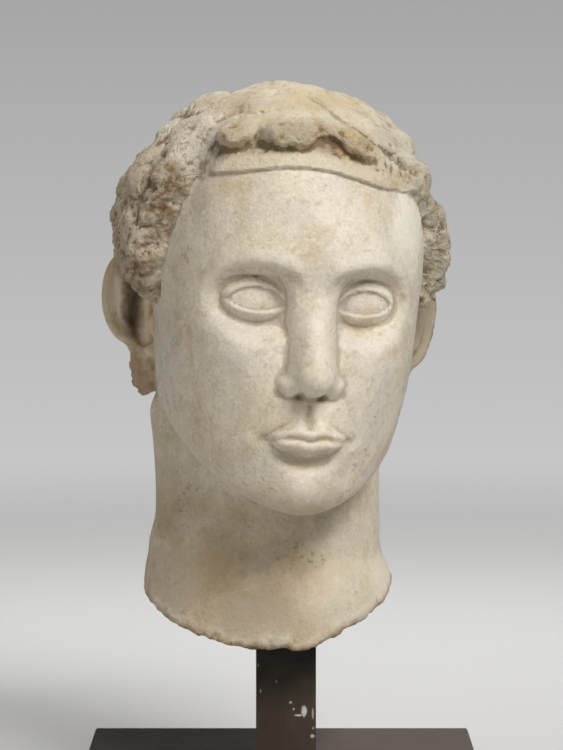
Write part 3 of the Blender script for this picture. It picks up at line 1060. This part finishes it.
EAR_DIRT = [
    ((-0.116, 0.020, 0.362), (0.014, 0.060, 0.014), (0.50, 0.345, 0.17), 0.65),
    ((-0.112, 0.020, 0.338), (0.007, 0.060, 0.014), (0.74, 0.69, 0.60), 0.45),
    ((-0.0995, 0.020, 0.334), (0.0070, 0.060, 0.032), (0.075, 0.047, 0.026), 0.95),
    ((-0.0960, 0.010, 0.279), (0.0150, 0.050, 0.019), (0.27, 0.18, 0.10), 0.72),
    ((0.096, 0.020, 0.315), (0.034, 0.090, 0.075), (0.33, 0.28, 0.205), 0.80),
]
CHALK_AT, CHALK_SIZE = (0.0850, -0.045, 0.384), (0.012, 0.060, 0.030)
NET_AT, NET_SIZE = (0.095, -0.020, 0.380), (0.026, 0.050, 0.040)
mesh.materials.append(marble_material())
FRONT = -0.018
CHIPS = [   # worn spots on the post's front: where, half sizes, strength
    ((0.0151, FRONT, 0.0592), (0.0018, 0.003, 0.0036), 1.0),
    ((0.0112, FRONT, 0.0564), (0.0025, 0.003, 0.0007), 0.9),
    ((0.0060, FRONT, 0.0651), (0.0009, 0.003, 0.0008), 0.7),
    ((0.0081, FRONT, 0.0606), (0.0006, 0.003, 0.0006), 0.8),
    ((-0.0034, FRONT, 0.0791), (0.0007, 0.003, 0.0009), 0.35),
    ((0.0209, FRONT, 0.0575), (0.0007, 0.003, 0.0034), 0.55),
    ((0.0212, FRONT, 0.0479), (0.0006, 0.003, 0.0009), 0.45),
    ((0.0207, FRONT, 0.0424), (0.0014, 0.003, 0.0012), 0.8),
    ((-0.0155, FRONT, 0.0900), (0.0005, 0.003, 0.0012), 0.30),
    ((-0.0139, FRONT, 0.0727), (0.0006, 0.003, 0.0014), 0.40),
]
dress("post", painted("dark_painted_metal", (0.050, 0.036, 0.025), (0.070, 0.051, 0.036), CHIPS, 0.42, 0.55, (1.0, 1.0, 0.12), (2, 0.055, 0.105, (0.010, 0.0072, 0.0055), 0.92)))
dress("base_board", painted("dark_painted_wood", (0.015, 0.0105, 0.009), (0.024, 0.017, 0.0145), [], 0.45, 0.60, (0.10, 1.0, 1.0), (0, -0.03, 0.05, (0.125, 0.098, 0.089), 0.85), 0.14))

# a pale floor that runs out into the studio's own pale grey, with no wall, so that no view is blocked
SIDES = 96
me = bpy.data.meshes.new("floor")
me.from_pydata([(0, 0, -0.0005)] + [(9 * math.cos(2 * math.pi * k / SIDES), 9 * math.sin(2 * math.pi * k / SIDES), -0.0005) for k in range(SIDES)], [],
               [(0, 1 + k, 1 + (k + 1) % SIDES) for k in range(SIDES)])
floor = bpy.data.objects.new("floor", me)
bpy.context.scene.collection.objects.link(floor)
f = Nodes("pale_floor")
f.bsdf.inputs["Base Color"].default_value = (0.62, 0.62, 0.62, 1)
f.bsdf.inputs["Roughness"].default_value = 0.95
f.bsdf.inputs["Specular IOR Level"].default_value = 0.1
reach = f.new("ShaderNodeVectorMath", operation="LENGTH")
f.link(f.coord, reach.inputs[0])
clear = f.new("ShaderNodeBsdfTransparent")
blend = f.new("ShaderNodeMixShader")
f.link(f.ramp(reach.outputs["Value"], 0.7, 2.6), blend.inputs[0])
f.link(f.bsdf.outputs[0], blend.inputs[1])
f.link(clear.outputs[0], blend.inputs[2])
f.link(blend.outputs[0], f.tree.nodes["Material Output"].inputs["Surface"])
me.materials.append(f.mat)

scene = bpy.context.scene
scene.view_settings.view_transform = "Standard"
world = bpy.data.worlds.new("studio")
scene.world = world
world.use_nodes = True
wt = world.node_tree
soft = wt.nodes["Background"]
soft.inputs[0].default_value = (1.0, 0.985, 0.96, 1)
soft.inputs[1].default_value = 0.12
seen = wt.nodes.new("ShaderNodeBackground")
way = wt.nodes.new("ShaderNodeTexCoord")
part = wt.nodes.new("ShaderNodeSeparateXYZ")
wt.links.new(way.outputs["Generated"], part.inputs[0])
tone = wt.nodes.new("ShaderNodeMapRange")
for k, v in (("From Min", -0.19), ("From Max", 0.055), ("To Min", 0.70), ("To Max", 0.374)):
    tone.inputs[k].default_value = v
wt.links.new(part.outputs["Z"], tone.inputs["Value"])
wt.links.new(tone.outputs["Result"], seen.inputs["Strength"])
seen.inputs[0].default_value = (1, 1, 1, 1)
path = wt.nodes.new("ShaderNodeLightPath")
both = wt.nodes.new("ShaderNodeMixShader")
wt.links.new(path.outputs["Is Camera Ray"], both.inputs[0])
wt.links.new(soft.outputs[0], both.inputs[1])
wt.links.new(seen.outputs[0], both.inputs[2])
wt.links.new(both.outputs[0], wt.nodes["World Output"].inputs["Surface"])


def lamp(name, place, size, power, tint=(1, 1, 1), aim=(0, 0, 0.30)):
    data = bpy.data.lights.new(name, "AREA")
    data.shape = "RECTANGLE"
    data.size, data.size_y = size
    data.energy = power
    data.color = tint
    ob = bpy.data.objects.new(name, data)
    scene.collection.objects.link(ob)
    ob.location = place
    ob.rotation_euler = (Vector(aim) - Vector(place)).to_track_quat("-Z", "Y").to_euler()
    ob.visible_camera = False


lamp("key", (0.80, -1.35, 1.70), (0.90, 0.90), 44, (1.0, 0.985, 0.955))
lamp("fill", (-1.8, -1.6, 0.85), (1.1, 1.1), 11, (1.0, 0.95, 0.88))
lamp("back", (0.0, 0.85, 1.15), (1.8, 0.6), 13, (1, 1, 1), (0, 0.95, 0.0))

camera = bpy.data.cameras.new("camera")
cam = bpy.data.objects.new("camera", camera)
scene.collection.objects.link(cam)
scene.camera = cam
camera.sensor_fit = "VERTICAL"
camera.sensor_height = 36.0
FOCAL_PX, HEIGHT_PX, WIDTH_PX, HORIZON = 3300.0, 750.0, 563.0, 163.0
camera.lens = 36.0 * FOCAL_PX / HEIGHT_PX
camera.clip_end = 50
CAM_Z, CAM_Y = 0.424, -2.2
pitch = math.atan((HEIGHT_PX / 2 - HORIZON) / FOCAL_PX)
cam.location = (0.0, CAM_Y, CAM_Z)
cam.rotation_euler = (math.pi / 2 - pitch, 0, 0)

print("marble vertices", n, "faces", len(faces), "triangles", sum(len(f) - 2 for f in faces))
